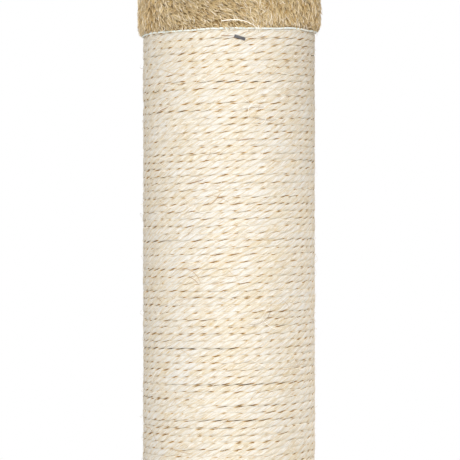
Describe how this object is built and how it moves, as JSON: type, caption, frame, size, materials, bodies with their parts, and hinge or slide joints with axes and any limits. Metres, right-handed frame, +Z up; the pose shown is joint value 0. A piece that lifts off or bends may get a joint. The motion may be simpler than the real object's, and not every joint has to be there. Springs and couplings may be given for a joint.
{
  "type": "cat tree",
  "caption": "Free-standing cat tree: sisal-wound posts with plush collars joining plush-covered boards, a round perch and a bolstered top bed with a loose cushion.",
  "frame": {"origin": "on the floor, under the middle of the base", "axes": "+Z up along the posts, -Y towards the front, +X to the right seen from the front"},
  "size_m": [0.616, 0.456, 1.0274],
  "materials": {
    "tube_card": "matt brown board",
    "board_wood": "raw",
    "sisal": "natural twisted fibre",
    "plush": "long soft pile",
    "stuffed_plush": "long soft pile over fibre filling",
    "zinc_steel": "zinc plated",
    "foot_rubber": "matt"
  },
  "bodies": {
    "root": {"lower_left_tube": "tube_card", "lower_left_plugs": "board_wood", "lower_left_rope": "sisal", "lower_left_head_collar": "plush", "lower_left_foot_collar": "plush", "lower_right_tube": "tube_card", "lower_right_plugs": "board_wood", "lower_right_rope": "sisal", "lower_right_head_collar": "plush", "lower_right_foot_collar": "plush", "lower_rear_tube": "tube_card", "lower_rear_plugs": "board_wood", "lower_rear_rope": "sisal", "lower_rear_head_collar": "plush", "lower_rear_foot_collar": "plush", "upper_left_tube": "tube_card", "upper_left_plugs": "board_wood", "upper_left_rope": "sisal", "upper_left_head_collar": "plush", "upper_left_foot_collar": "plush", "upper_right_tube": "tube_card", "upper_right_plugs": "board_wood", "upper_right_rope": "sisal", "upper_right_head_collar": "plush", "upper_right_foot_collar": "plush", "upper_rear_tube": "tube_card", "upper_rear_plugs": "board_wood", "upper_rear_rope": "sisal", "upper_rear_head_collar": "plush", "upper_rear_foot_collar": "plush", "base_board": "board_wood", "base_cover": "plush", "deck_board": "board_wood", "deck_cover": "plush", "bed_board": "board_wood", "bed_cover": "plush", "perch_board": "board_wood", "perch_cover": "plush", "bed_bolster": "stuffed_plush", "bed_cushion": "stuffed_plush", "tee_nuts": "zinc_steel", "base_bolts": "zinc_steel", "joining_studs": "zinc_steel", "top_bolts": "zinc_steel", "washers": "zinc_steel", "rope_staples": "zinc_steel", "feet": "foot_rubber"}
  },
  "joints": []
}
